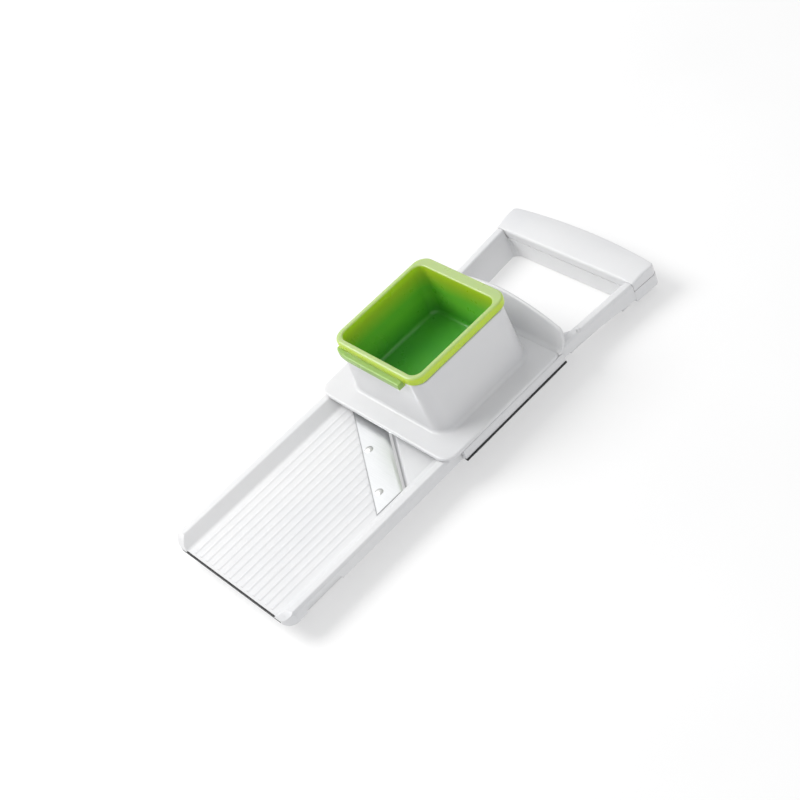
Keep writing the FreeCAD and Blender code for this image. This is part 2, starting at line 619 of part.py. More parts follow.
def thickness_wheel():
    """The knurled thumb wheel, with a recess for its screw."""
    wheel = rod_x(-WHEEL_OUT, -WHEEL_IN, SHAFT_Y, SHAFT_Z, WHEEL_R)
    wheel = wheel.cut(rod_x(-WHEEL_OUT + 2.4, -WHEEL_IN + 1.0, SHAFT_Y, SHAFT_Z, 2.0))
    wheel = wheel.cut(rod_x(-WHEEL_OUT - 1.0, -WHEEL_OUT + 1.2, SHAFT_Y, SHAFT_Z, 2.3))
    wheel = wheel.cut(rod_x(-WHEEL_OUT, -WHEEL_OUT + 3.0, SHAFT_Y, SHAFT_Z, 1.0))
    grips = 18
    for i in range(grips):
        a = 2.0 * math.pi * i / grips
        y = SHAFT_Y + (WHEEL_R + 0.35) * math.cos(a)
        z = SHAFT_Z + (WHEEL_R + 0.35) * math.sin(a)
        wheel = wheel.cut(rod_x(-WHEEL_OUT - 1.0, -WHEEL_IN + 1.0, y, z, 0.7))
    return wheel


def wheel_screw():
    """The slotted screw that holds the wheel on the shaft."""
    head = rod_x(-WHEEL_OUT, -WHEEL_OUT + 1.2, SHAFT_Y, SHAFT_Z, 2.2)
    shank = rod_x(-WHEEL_OUT + 1.1, -WHEEL_IN + 2.0, SHAFT_Y, SHAFT_Z, 0.9)
    slot = box(-WHEEL_OUT - 1.0, -WHEEL_OUT + 0.6, SHAFT_Y - 2.3, SHAFT_Y + 2.3,
               SHAFT_Z - 0.3, SHAFT_Z + 0.3)
    return head.fuse(shank).cut(slot)


def shaft_clip():
    """The open ring that keeps the shaft from sliding out."""
    ring = rod_x(CLIP_X, CLIP_X + 0.8, SHAFT_Y, SHAFT_Z, 4.4)
    ring = ring.cut(rod_x(CLIP_X - 1, CLIP_X + 2, SHAFT_Y, SHAFT_Z, 2.0))
    mouth = box(CLIP_X - 1, CLIP_X + 2, SHAFT_Y - 1.4, SHAFT_Y + 1.4, SHAFT_Z - 6.0, SHAFT_Z)
    return ring.cut(mouth)


# Carriage -------------------------------------------------------------------------
def finger_guard():
    """The raised rear wall that keeps fingers behind the carriage."""
    foot_y = CARR_REAR - 4.0
    face_y = foot_y + 1.2
    rear_y = face_y + GUARD_THICK
    high = GUARD_CREST
    section = [(foot_y, FLANGE_BOTTOM), (rear_y, FLANGE_BOTTOM),
               (rear_y + GUARD_LEAN * (high - FLANGE_BOTTOM), high),
               (face_y + GUARD_LEAN * (high - FLANGE_TOP), high), (foot_y, FLANGE_TOP)]
    wall = prism_x(section, -CARR_HALF, CARR_HALF)
    round_x, tip, bottom = 6.0, 30.0, 20.0
    ends = CARR_HALF - round_x
    bulge_x = ends + round_x * math.sqrt(0.5)
    bulge_z = tip + (GUARD_SHOULDER - tip) * math.sqrt(0.5)
    a, b = Vec(-ends, 0, GUARD_SHOULDER), Vec(ends, 0, GUARD_SHOULDER)
    tip_l, tip_r = Vec(-CARR_HALF, 0, tip), Vec(CARR_HALF, 0, tip)
    low_l, low_r = Vec(-CARR_HALF, 0, bottom), Vec(CARR_HALF, 0, bottom)
    edges = [Part.makeLine(low_r, tip_r), Part.Arc(tip_r, Vec(bulge_x, 0, bulge_z), b).toShape(),
             Part.Arc(b, Vec(0, 0, GUARD_CREST - 0.2), a).toShape(),
             Part.Arc(a, Vec(-bulge_x, 0, bulge_z), tip_l).toShape(),
             Part.makeLine(tip_l, low_l), Part.makeLine(low_l, low_r)]
    outline = Part.Face(Part.Wire(edges)).extrude(Vec(0, LENGTH, 0))
    return wall.common(outline)


def carriage_body():
    """Flange, food hopper and finger guard in one moulding."""
    mid = (CARR_FRONT + CARR_REAR) / 2.0
    flange = round_block(CARR_HALF, (CARR_REAR - CARR_FRONT) / 2.0, 10.0, FLANGE_BOTTOM, FLANGE_TOP, mid)
    flange = flange.makeFillet(1.1, edges_at(flange, FLANGE_TOP))
    hopper = taper_block(HOPPER_LOW, HOPPER_HIGH, FLANGE_TOP - 0.1, HOPPER_TOP, HOPPER_Y)
    well = round_block(WELL_X, WELL_Y, WELL_R, FLANGE_BOTTOM - 1.0, HOPPER_TOP + 1.0, WELL_MID)
    body = flange.fuse(hopper).fuse(finger_guard()).removeSplitter()
    near_x, near_y = HOPPER_LOW[0] + 1.0, HOPPER_LOW[1] + 1.0
    foot_edges = [e for e in edges_at(body, FLANGE_TOP)
                  if abs(e.CenterOfMass.x) < near_x and abs(e.CenterOfMass.y - HOPPER_Y) < near_y]
    body = body.makeFillet(1.6, foot_edges)
    body = body.cut(well)
    pocket_in, pocket_out, pocket_top = WELL_X + 1.8, HOPPER_LOW[0] - 1.8, 50.0
    pocket = [(pocket_in, FLANGE_BOTTOM - 1.0), (pocket_out, FLANGE_BOTTOM - 1.0),
              (HOPPER_HIGH[0] + 0.5, pocket_top), (pocket_in, pocket_top)]
    for side in SIDES.values():
        body = body.cut(prism_y(mirrored(pocket, side), HOPPER_Y - 30.0, HOPPER_Y + 30.0))
        for y in PEG_Y:
            body = body.cut(rod(side * PEG_X, y, FLANGE_BOTTOM - 1.0, PEG_R, 2.6))
    return body


def guide(side):
    """A rail shoe: it hangs beside the lip and hooks under it in two places."""
    seat = CARR_HALF - GLIDE_DEPTH
    section = [(GUIDE_IN, FLANGE_BOTTOM), (CARR_HALF, FLANGE_BOTTOM), (CARR_HALF, GLIDE_TOP),
               (seat, GLIDE_TOP), (seat, GLIDE_BOTTOM), (GUIDE_IN, GLIDE_BOTTOM)]
    pieces = [prism_y(mirrored(section, side), GUIDE_FRONT, GUIDE_REAR)]
    tip, shelf = LIP_OUT - 2.2, LIP_BOTTOM - 0.4
    hook = [(GUIDE_IN, GLIDE_BOTTOM + 0.2), (seat, GLIDE_BOTTOM + 0.2), (seat, HOOK_BOTTOM + 0.5),
            (seat - 0.5, HOOK_BOTTOM), (tip, HOOK_BOTTOM), (tip, shelf - 0.4), (tip + 0.6, shelf),
            (GUIDE_IN, shelf)]
    for y in HOOK_Y:
        pieces.append(prism_y(mirrored(hook, side), y, y + HOOK_LENGTH))
    for y in PEG_Y:
        pieces.append(rod(side * PEG_X, y, FLANGE_BOTTOM - 0.5, PEG_R, 2.0))
    return fuse(pieces)


def glide_strip(side):
    """The soft black strip along the foot of each shoe."""
    seat, face = CARR_HALF - GLIDE_DEPTH, CARR_HALF + GLIDE_PROUD
    section = [(seat, GLIDE_BOTTOM), (face, GLIDE_BOTTOM), (face, GLIDE_TOP), (seat, GLIDE_TOP)]
    return prism_y(mirrored(section, side), GUIDE_FRONT, GUIDE_REAR)


# Pusher ---------------------------------------------------------------------------
def pull_tab():
    """The ledge under the front of the cup's rim, round at its left end."""
    front = CUP_RIM_MID - CUP_RIM_Y
    z0, z1 = TAB_BOTTOM, TAB_TOP
    left, right, reach, back = -35.0, 27.0, 4.2, 0.8
    a, b = Vec(left, front + 0.4, z0), Vec(left + 13.0, front - reach, z0)
    bow = Vec(left + 4.6, front - reach * 0.62, z0)
    c, d = Vec(right, front - reach, z0), Vec(right, front + back, z0)
    e = Vec(left, front + back, z0)
    wire = Part.Wire([Part.Arc(a, bow, b).toShape(), Part.makeLine(b, c), Part.makeLine(c, d),
                      Part.makeLine(d, e), Part.makeLine(e, a)])
    tab = Part.Face(wire).extrude(Vec(0, 0, z1 - z0))
    outer = [edge for edge in edges_at(tab, z0) + edges_at(tab, z1) if edge.CenterOfMass.y < front]
    return tab.makeFillet(0.9, outer)


def pusher_cup():
    """The green cup: it fills the well, and its rim rests on the hopper."""
    rim_low = CUP_TOP - CUP_RIM_HEIGHT
    outer = round_block(CUP_WALL_X, CUP_WALL_Y, 6.6, CUP_BOTTOM, CUP_TOP - 1.0, WELL_MID)
    rim = round_block(CUP_RIM_X, CUP_RIM_Y, 9.5, rim_low, CUP_TOP, CUP_RIM_MID)
    rim = rim.makeFillet(1.8, edges_at(rim, CUP_TOP)).makeFillet(0.8, edges_at(rim, rim_low))
    inside = taper_block((CUP_IN_X - CUP_DRAFT, CUP_IN_Y - CUP_DRAFT, 6.0), (CUP_IN_X, CUP_IN_Y, 6.0),
                         CUP_FLOOR, CUP_TOP + 0.01, WELL_MID)
    inside = inside.makeFillet(3.0, edges_at(inside, CUP_FLOOR))
    cup = fuse([outer, rim, pull_tab()]).cut(inside)
    mouth = [e for e in edges_at(cup, CUP_TOP) if abs(e.CenterOfMass.x) < CUP_IN_X + 0.5
             and abs(e.CenterOfMass.y - WELL_MID) < CUP_IN_Y + 0.5]
    return cup.makeFillet(1.2, mouth)


def pusher_foot():
    """The toothed plate under the cup that grips the food."""
    half_x, half_y = CUP_WALL_X - 0.6, CUP_WALL_Y - 0.6
    plate_top = TOOTH_ROOT + 2.4
    pieces = [round_block(half_x, half_y, 6.0, TOOTH_ROOT, plate_top, WELL_MID)]
    rib_x, rib_y, rib_low = half_x - 4.0, half_y - 4.0, plate_top - 0.2
    for step in (-24.0, 0.0, 24.0):
        y = WELL_MID + step
        pieces.append(box(step - 1.0, step + 1.0, WELL_MID - rib_y, WELL_MID + rib_y, rib_low, CUP_BOTTOM))
        pieces.append(box(-rib_x, rib_x, y - 1.0, y + 1.0, rib_low, CUP_BOTTOM))
    teeth, pitch = 6, 11.0
    height = TOOTH_ROOT - TOOTH_TIP + 0.2
    steps = [(i - (teeth - 1) / 2.0) * pitch for i in range(teeth)]
    for x in steps:
        for y in steps:
            pieces.append(Part.makeCone(0.5, 2.2, height, Vec(x, WELL_MID + y, TOOTH_TIP)))
    return fuse(pieces)


def make_all():
    nodes = {
        "body_frame": body_frame(),
        "front_strip": front_strip(),
        "handle_cover": handle_cover(),
        "handle_screws": handle_screws(),
        "blade": blade(),
        "blade_rivets": blade_rivets(),
        "runup_plate": runup_plate(),
        "thickness_shaft": thickness_shaft(),
        "thickness_wheel": thickness_wheel(),
        "wheel_screw": wheel_screw(),
        "shaft_clip": shaft_clip(),
        "carriage_body": carriage_body(),
        "pusher_cup": pusher_cup(),
        "pusher_foot": pusher_foot(),
    }
    for name, side in SIDES.items():
        nodes["foot_front_" + name] = foot(side * FRONT_FEET[0], FRONT_FEET[1])
        nodes["foot_rear_" + name] = foot(side * REAR_FEET[0], REAR_FEET[1])
        nodes["runup_pin_" + name] = runup_pin(side)
        nodes["guide_" + name] = guide(side)
        nodes["glide_strip_" + name] = glide_strip(side)
    return nodes


os.makedirs("parts", exist_ok=True)
for node, shape in make_all().items():
    solid = place(shape)
    state = "valid" if solid.isValid() else "INVALID"
    print(node, len(solid.Solids), "solids", round(solid.Volume), "mm3", state)
    solid.exportStep("parts/" + node + ".step")
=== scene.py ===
import math

import bmesh
import bpy
from mathutils import Matrix, Vector


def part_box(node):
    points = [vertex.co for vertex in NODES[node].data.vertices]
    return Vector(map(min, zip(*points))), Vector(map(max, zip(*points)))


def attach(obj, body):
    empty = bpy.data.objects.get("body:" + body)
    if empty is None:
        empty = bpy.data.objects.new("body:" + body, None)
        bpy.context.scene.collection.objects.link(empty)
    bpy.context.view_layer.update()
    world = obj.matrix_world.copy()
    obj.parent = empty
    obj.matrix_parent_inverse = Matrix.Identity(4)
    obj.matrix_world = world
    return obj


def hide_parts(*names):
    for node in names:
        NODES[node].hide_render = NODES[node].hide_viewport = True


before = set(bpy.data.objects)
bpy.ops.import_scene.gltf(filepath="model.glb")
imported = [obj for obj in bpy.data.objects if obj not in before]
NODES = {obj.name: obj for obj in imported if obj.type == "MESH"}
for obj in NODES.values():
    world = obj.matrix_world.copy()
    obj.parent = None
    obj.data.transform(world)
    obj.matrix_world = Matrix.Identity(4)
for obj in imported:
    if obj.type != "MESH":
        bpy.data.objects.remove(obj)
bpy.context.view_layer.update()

# A mandoline slicer. Its shapes are worked out in millimetres, and MM turns them into metres.
# Other lengths, in the materials and the studio, are metres.
MM = 0.001
SHARP_ANGLE = math.radians(32.0)    # faces that meet at more than this keep a sharp edge
CORNER_STEPS, SIDE_STEPS = 10, 6    # steps round a corner and along a side of a rounded rectangle


def extent(node):
    """Lowest and highest corner of a CAD node."""
    low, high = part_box(node)
    return low / MM, high / MM


# Sizes --------------------------------------------------------------------------
# A size of three numbers is a rounded rectangle: half length in X, half length in Y, corner radius.
CARRIAGE_LOW, CARRIAGE_HIGH = extent("carriage_body")
FLANGE_LOW = CARRIAGE_LOW.z
FLANGE_HIGH = FLANGE_LOW + 2.5
FLANGE_SIZE = (CARRIAGE_HIGH.x, 54.7, 10.0)
FLANGE_MID = CARRIAGE_LOW.y + FLANGE_SIZE[1]
HOPPER_TOP = CARRIAGE_HIGH.z
HOPPER_LOW_SIZE, HOPPER_TOP_SIZE = (46.0, 40.9, 12.0), (40.1, 40.7, 9.0)
HOPPER_MID = FLANGE_MID + 0.9
WELL_SIZE = (37.9, 38.6, 7.0)
WELL_MID = FLANGE_MID

CUP_LOW, CUP_HIGH = extent("pusher_cup")
CUP_FLOOR = 32.0
RIM_SIZE = (CUP_HIGH.x, 42.75, 9.5)
RIM_MID = CUP_HIGH.y - RIM_SIZE[1]
RIM_FRONT = RIM_MID - RIM_SIZE[1]
TAB_LOW, TAB_HIGH = 62.7, 67.3

BLADE_LOW, BLADE_HIGH = extent("blade")
BLADE_TURN = math.atan(0.66)
BLADE_FRONT = BLADE_HIGH.x * math.sin(BLADE_TURN) + BLADE_LOW.y * math.cos(BLADE_TURN)


# Node materials ---------------------------------------------------------------
class Finish:
    """A material with a few shortcuts for building its nodes. Textures use object coordinates."""

    def __init__(self, name):
        self.mat = bpy.data.materials.new(name)
        self.mat.use_nodes = True
        self.nodes = self.mat.node_tree.nodes
        self.links = self.mat.node_tree.links
        self.shader = self.nodes["Principled BSDF"]
        self.place = self.nodes.new("ShaderNodeTexCoord").outputs["Object"]

    def plug(self, value, socket):
        if isinstance(value, bpy.types.NodeSocket):
            self.links.new(value, socket)
        else:
            socket.default_value = value

    def set(self, **values):
        for name, value in values.items():
            self.plug(value, self.shader.inputs[name.replace("_", " ")])

    def coords(self, stretch=(1, 1, 1), turn=0.0):
        node = self.nodes.new("ShaderNodeMapping")
        self.links.new(self.place, node.inputs["Vector"])
        node.inputs["Scale"].default_value = stretch
        node.inputs["Rotation"].default_value = (0, 0, turn)
        return node.outputs["Vector"]

    def coordinate(self, axis, at=None):
        node = self.nodes.new("ShaderNodeSeparateXYZ")
        self.links.new(at or self.place, node.inputs[0])
        return node.outputs[axis]

    def noise(self, scale, detail, rough, at=None):
        node = self.nodes.new("ShaderNodeTexNoise")
        self.links.new(at or self.place, node.inputs["Vector"])
        for name, value in (("Scale", scale), ("Detail", detail), ("Roughness", rough)):
            node.inputs[name].default_value = value
        return node.outputs["Fac"]

    def cells(self, scale):
        """Distance from the nearest of many scattered points."""
        node = self.nodes.new("ShaderNodeTexVoronoi")
        self.links.new(self.place, node.inputs["Vector"])
        node.inputs["Scale"].default_value = scale
        return node.outputs["Distance"]

    def span(self, value, low, high):
        """0 at low, 1 at high, and flat beyond them; low may be the larger one."""
        node = self.nodes.new("ShaderNodeMapRange")
        self.plug(value, node.inputs["Value"])
        node.inputs["From Min"].default_value = low
        node.inputs["From Max"].default_value = high
        return node.outputs["Result"]

    def ramp(self, value, stops):
        """Greys at positions: stops is a list of (position, grey)."""
        node = self.nodes.new("ShaderNodeValToRGB")
        self.links.new(value, node.inputs["Fac"])
        elements = node.color_ramp.elements
        while len(elements) < len(stops):
            elements.new(0.5)
        for element, (position, grey) in zip(elements, stops):
            element.position = position
            element.color = (grey, grey, grey, 1.0)
        return node.outputs["Color"]

    def math(self, operation, a, b):
        node = self.nodes.new("ShaderNodeMath")
        node.operation = operation
        self.plug(a, node.inputs[0])
        self.plug(b, node.inputs[1])
        return node.outputs[0]

    def total(self, start, *layers):
        """start plus layers of (value, weight)."""
        for value, weight in layers:
            start = self.math("ADD", self.math("MULTIPLY", value, weight), start)
        return start

    def mix(self, factor, a, b):
        node = self.nodes.new("ShaderNodeMix")
        node.data_type = "RGBA"
        self.plug(factor, node.inputs["Factor"])
        for value, name in ((a, "A_Color"), (b, "B_Color")):
            socket = [s for s in node.inputs if s.identifier == name][0]
            if isinstance(value, tuple):
                value = (*value, 1.0)
            self.plug(value, socket)
        return [s for s in node.outputs if s.identifier == "Result_Color"][0]

    def tint(self, base, mask, amount, colour):
        """The base, changed towards a colour by up to amount, where the mask is 1."""
        return self.mix(self.math("MULTIPLY", mask, amount), base, colour)

    def bump(self, *layers, ease=0.0):
        """Layers of (height, strength, distance), one over the other. ease softens sharp edges."""
        normal = None
        if ease:
            node = self.nodes.new("ShaderNodeBevel")
            node.samples = 6
            node.inputs["Radius"].default_value = ease
            normal = node.outputs["Normal"]
        for value, strength, distance in layers:
            node = self.nodes.new("ShaderNodeBump")
            node.inputs["Strength"].default_value = strength
            node.inputs["Distance"].default_value = distance
            self.links.new(value, node.inputs["Height"])
            if normal is not None:
                self.links.new(normal, node.inputs["Normal"])
            normal = node.outputs["Normal"]
        self.links.new(normal, self.shader.inputs["Normal"])

    def painted_corner_shade(self, reach):
        """Painted shade mask: close to 1 in tight corners, where shade falls, 0 in the open."""
        node = self.nodes.new("ShaderNodeAmbientOcclusion")
        node.samples = 6
        node.inputs["Distance"].default_value = reach
        return self.span(node.outputs["AO"], 0.75, 0.25)


def scratches(f, turn, fine, long):
    """Thin straight marks along one direction, in patches."""
    lines = f.noise(1.0, 2.0, 0.5, f.coords((fine, long, fine), turn))
    patches = f.span(f.noise(38.0, 2.0, 0.6), 0.45, 0.7)
    thin = f.ramp(lines, [(0.0, 0.0), (0.64, 0.0), (0.68, 1.0), (0.72, 0.0)])
    return f.math("MULTIPLY", thin, patches)


def white_plastic(name, warm, cool, rough, worn):
    """Moulded polypropylene: a satin skin with fine grain, flow marks and kitchen wear, and painted shade in
    its corners and crevices.
    """
    f = Finish(name)
    cloud = f.span(f.noise(16.0, 4.0, 0.55), 0.3, 0.7)
    speck = f.span(f.noise(900.0, 2.0, 0.6), 0.62, 0.78)
    smear = f.noise(55.0, 3.0, 0.6, f.coords((1.0, 0.35, 1.0)))
    marks = scratches(f, 0.0, 2600.0, 26.0)
    cuts = scratches(f, 0.58, 1900.0, 40.0)
    grain = f.noise(1500.0, 2.0, 0.5)
    waves = f.noise(90.0, 2.0, 0.5)
    base = f.mix(cloud, warm, cool)
    base = f.tint(base, speck, 0.05, (0.55, 0.53, 0.48))
    # painted shade: a warm grey darkening in corners and crevices, where shade falls
    base = f.tint(base, f.painted_corner_shade(0.004), 0.20, (0.50, 0.49, 0.46))
    base = f.tint(base, marks, 0.10 * worn, (0.50, 0.50, 0.50))
    f.set(Base_Color=base, Roughness=f.total(rough - 0.08, (smear, 0.16), (marks, 0.2)), IOR=1.49)
    f.set(Subsurface_Weight=0.12, Subsurface_Radius=(0.004, 0.0038, 0.0036), Subsurface_Scale=1.0)
    f.bump((grain, 0.10, 0.00012), (waves, 0.10, 0.0006), (marks, 0.35 * worn, 0.00005),
           (cuts, 0.25 * worn, 0.00005), ease=0.0005)
    return f.mat


def green_plastic(name):
    """Tinted translucent plastic, with light and shade painted by height: deep green low down, where the cup
    is in shade, lime where light leaks in near the brim, a painted highlight on the brim and painted shade on
    the tab under the rim.
    """
    deep, deeper = (0.060, 0.34, 0.036), (0.072, 0.37, 0.033)
    leaf, lime = (0.17, 0.55, 0.046), (0.50, 0.65, 0.030)
    brim_highlight, shaded = (0.42, 0.54, 0.21), (0.27, 0.43, 0.10)
    brim = CUP_HIGH.z - 0.1
    f = Finish(name)
    height = f.coordinate("Z")
    depth = f.span(height, CUP_FLOOR * MM, brim * MM)
    brim_highlight_band = f.span(height, (brim - 1.2) * MM, brim * MM)
    before_rim = f.span(f.coordinate("Y"), (RIM_FRONT + 0.05) * MM, (RIM_FRONT - 0.35) * MM)
    on_tab = f.math("MULTIPLY", before_rim, f.span(height, (TAB_HIGH + 0.6) * MM, TAB_HIGH * MM))
    base = f.mix(f.span(f.noise(30.0, 3.0, 0.5), 0.35, 0.65), deep, deeper)
    # painted light and shade by height: darker green low down, lime near the brim
    base = f.mix(f.span(depth, 0.05, 0.40), base, leaf)
    base = f.mix(f.span(depth, 0.55, 0.93), base, lime)
    # painted highlight along the top of the brim
    base = f.mix(brim_highlight_band, base, brim_highlight)
    # painted shade on the tab, under the rim
    base = f.mix(on_tab, base, shaded)
    marks = scratches(f, 0.3, 1700.0, 30.0)
    gloss = f.total(0.22, (f.noise(70.0, 3.0, 0.6), 0.14), (marks, 0.05))
    f.set(Base_Color=base, Roughness=gloss, IOR=1.5, Coat_Weight=0.15, Coat_Roughness=0.12)
    f.set(Subsurface_Weight=0.45, Subsurface_Radius=(0.006, 0.008, 0.002), Subsurface_Scale=1.0)
    f.bump((f.noise(1300.0, 2.0, 0.5), 0.06, 0.0001), (f.noise(110.0, 2.0, 0.5), 0.08, 0.0005))
    return f.mat


def blade_steel(name, turn, front, end):
    """Polished strip steel, with its grain along the blade and painted shade, a dark line, along the front
    and right edges.
    """
    edge_shade_width = 0.7 * MM
    f = Finish(name)
    across = f.coordinate("Y", f.coords(turn=turn))
    # painted shade: a dark line along the front and right edges, standing in for the shadow in the gaps
    # beside them
    edge_shade = f.math("MAXIMUM", f.span(across, front + edge_shade_width, front),
                   f.span(f.coordinate("X"), end - edge_shade_width, end))
    edge_shade = f.math("MULTIPLY", edge_shade, f.ramp(f.noise(160.0, 2.0, 0.5), [(0.2, 0.6), (0.7, 1.0)]))
    grain = f.noise(1.0, 3.0, 0.6, f.coords((60.0, 4200.0, 4200.0), turn))
    broad = f.noise(28.0, 3.0, 0.6)
    water = f.math("MULTIPLY", f.span(f.cells(210.0), 0.16, 0.10), f.span(broad, 0.5, 0.75))
    base = f.mix(f.span(grain, 0.3, 0.7), (0.72, 0.73, 0.74), (0.80, 0.81, 0.82))
    base = f.tint(base, water, 0.20, (0.62, 0.62, 0.60))
    # painted shade along the front and right edges
    base = f.tint(base, edge_shade, 0.75, (0.16, 0.16, 0.165))
    f.set(Base_Color=base, Metallic=1.0, Roughness=f.total(0.20, (grain, 0.14), (broad, 0.10), (water, 0.15)))
    f.bump((grain, 0.10, 0.00003), (f.noise(60.0, 2.0, 0.5), 0.06, 0.0004))
    return f.mat


def turned_steel(name):
    """Nickel-coloured screws, pins and rivets: softly brushed, with painted shade darkening the corners."""
    f = Finish(name)
    grain = f.noise(2400.0, 3.0, 0.6)
    cloud = f.noise(300.0, 3.0, 0.6)
    base = f.mix(f.span(cloud, 0.35, 0.7), (0.80, 0.80, 0.79), (0.68, 0.68, 0.67))
    # painted shade: dark in tight corners, such as round the base of each head
    base = f.tint(base, f.painted_corner_shade(0.0012), 0.8, (0.16, 0.155, 0.15))
    f.set(Base_Color=base, Metallic=1.0, Roughness=f.total(0.30, (cloud, 0.2)))
    f.bump((grain, 0.12, 0.00004))
    return f.mat


def rubber(name, colour, dust):
    """Matt rubber with a pebbled skin and a little dust."""
    f = Finish(name)
    cloud = f.noise(140.0, 4.0, 0.6)
    base = f.tint(colour, f.span(cloud, 0.45, 0.8), 0.35, dust)
    f.set(Base_Color=base, Roughness=f.total(0.42, (cloud, 0.3)), IOR=1.45)
    f.bump((f.cells(2600.0), 0.25, 0.00008), (cloud, 0.15, 0.0002))
    return f.mat


def table_top(name):
    """The pale studio floor, which glows a little so that it stays near white."""
    f = Finish(name)
    base = f.mix(f.span(f.noise(3.0, 3.0, 0.5), 0.3, 0.7), (0.50, 0.50, 0.50), (0.54, 0.54, 0.54))
    f.set(Base_Color=base, Roughness=0.65, Emission_Color=(1.0, 1.0, 1.0, 1.0), Emission_Strength=0.41)
    f.bump((f.noise(700.0, 2.0, 0.5), 0.05, 0.0002))
    return f.mat


BODY = white_plastic("body_plastic", (0.74, 0.74, 0.745), (0.69, 0.695, 0.71), rough=0.40, worn=1.0)
CARRIAGE = white_plastic("carriage_plastic", (0.72, 0.72, 0.725), (0.67, 0.675, 0.69), rough=0.32, worn=0.5)
GREEN = green_plastic("cup_plastic")
BLADE = blade_steel("blade_metal", BLADE_TURN, BLADE_FRONT * MM, BLADE_HIGH.x * MM)
STEEL = turned_steel("fastener_metal")
BLACK = rubber("black_rubber", (0.010, 0.010, 0.011), (0.05, 0.05, 0.049))
GREY = rubber("grey_rubber", (0.20, 0.20, 0.205), (0.34, 0.34, 0.33))


# Mesh work ------------------------------------------------------------------------
def quarter(steps):
    """Angles from 0 to 90 degrees."""
    return [math.pi / 2 * i / steps for i in range(steps + 1)]


def quarter_arc(radius, steps):
    """Points of a quarter circle: the first number rises from 0 to radius while the second falls to 0."""
    return [(radius * (1 - math.cos(a)), radius * (1 - math.sin(a))) for a in quarter(steps)]


def rounded_ring(size, z, middle, out=0.0):
    """Points round a rounded rectangle, out wider all round: as many of them whatever its size."""
    half_x, half_y, r = (v + out for v in size)
    corners = []
    for sx, sy, start in ((1, -1, -90), (1, 1, 0), (-1, 1, 90), (-1, -1, 180)):
        cx, cy = sx * (half_x - r), middle + sy * (half_y - r)
        angles = [math.radians(start + 90.0 * i / CORNER_STEPS) for i in range(CORNER_STEPS + 1)]
        corners.append([Vector((cx + r * math.cos(a), cy + r * math.sin(a), z)) for a in angles])
    ring = []
    for corner, ahead in zip(corners, corners[1:] + corners[:1]):
        ring += corner
        ring += [corner[-1].lerp(ahead[0], i / SIDE_STEPS) for i in range(1, SIDE_STEPS)]
    return ring


def skin(bm, rings, close=False, caps=False):
    """Faces between rings of equal length: joined end to end when closed, or with a cap at each end."""
    verts = [[bm.verts.new(p * MM) for p in ring] for ring in rings]
    pairs = list(zip(verts, verts[1:]))
    if close:
        pairs.append((verts[-1], verts[0]))
    for low, high in pairs:
        for i in range(len(low)):
            j = (i + 1) % len(low)
            bm.faces.new((low[i], low[j], high[j], high[i]))
    if caps:
        bm.faces.new(list(reversed(verts[0])))
        bm.faces.new(verts[-1])


def finish_mesh(bm, name, body, material, stands_for):
    """Turns a bmesh into a piece of the object, in place of the CAD nodes that it stands for."""
    bmesh.ops.remove_doubles(bm, verts=bm.verts, dist=1e-7)
    bmesh.ops.recalc_face_normals(bm, faces=bm.faces)
    mesh = bpy.data.meshes.new(name)
    bm.to_mesh(mesh)
    bm.free()
    mesh.shade_smooth()
    mesh.set_sharp_from_angle(angle=SHARP_ANGLE)
    piece = bpy.data.objects.new(name, mesh)
    bpy.context.scene.collection.objects.link(piece)
    mesh.materials.append(material)
    piece.modifiers.new("even", "WEIGHTED_NORMAL").keep_sharp = True
    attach(piece, body)
    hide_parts(*stands_for)


def keep(node, material):
    """A CAD node kept as it is: smooth across its curves, and with a real finish."""
    piece = NODES[node]
    piece.data.materials.clear()
    piece.data.materials.append(material)
    piece.data.shade_smooth()
    piece.modifiers.new("weld", "WELD").merge_threshold = 2e-6
    piece.modifiers.new("split", "EDGE_SPLIT").split_angle = SHARP_ANGLE
    piece.modifiers.new("even", "WEIGHTED_NORMAL").keep_sharp = True


# Carriage ---------------------------------------------------------------------------
def carriage_shell():
    """Flange and food hopper as one continuous skin: under, round the edge, up, over and down the well."""
    under_r, edge_r, foot_r, top_r, mouth_r, exit_r = 0.5, 1.4, 2.4, 0.8, 0.5, 0.4
    rings = []

    def flange(inset, z):
        rings.append(rounded_ring(FLANGE_SIZE, z, FLANGE_MID, -inset))

    def hopper(out, z):
        t = (z - FLANGE_HIGH) / (HOPPER_TOP - FLANGE_HIGH)
        size = [low + (top - low) * t for low, top in zip(HOPPER_LOW_SIZE, HOPPER_TOP_SIZE)]
        rings.append(rounded_ring(size, z, HOPPER_MID, out))

    def well(out, z):
        rings.append(rounded_ring(WELL_SIZE, z, WELL_MID, out))

    for inset in (14.0, 8.0, 3.0):
        flange(inset, FLANGE_LOW)
    for rise, inset in quarter_arc(under_r, 3):
        flange(inset, FLANGE_LOW + rise)
    for inset, drop in quarter_arc(edge_r, 6):
        flange(inset, FLANGE_HIGH - drop)
    flange(5.0, FLANGE_HIGH)
    for rise, out in quarter_arc(foot_r, 7):
        hopper(out, FLANGE_HIGH + rise)
    for z in (33.0, 41.0, 49.0, 57.0):
        hopper(0.0, z)
    for inset, drop in quarter_arc(top_r, 5):
        hopper(-inset, HOPPER_TOP - drop)
    for drop, out in quarter_arc(mouth_r, 4):
        well(out, HOPPER_TOP - drop)
    for z in (53.0, 43.0, 33.0):
        well(0.0, z)
    for out, rise in quarter_arc(exit_r, 3):
        well(out, FLANGE_LOW + rise)
    return rings


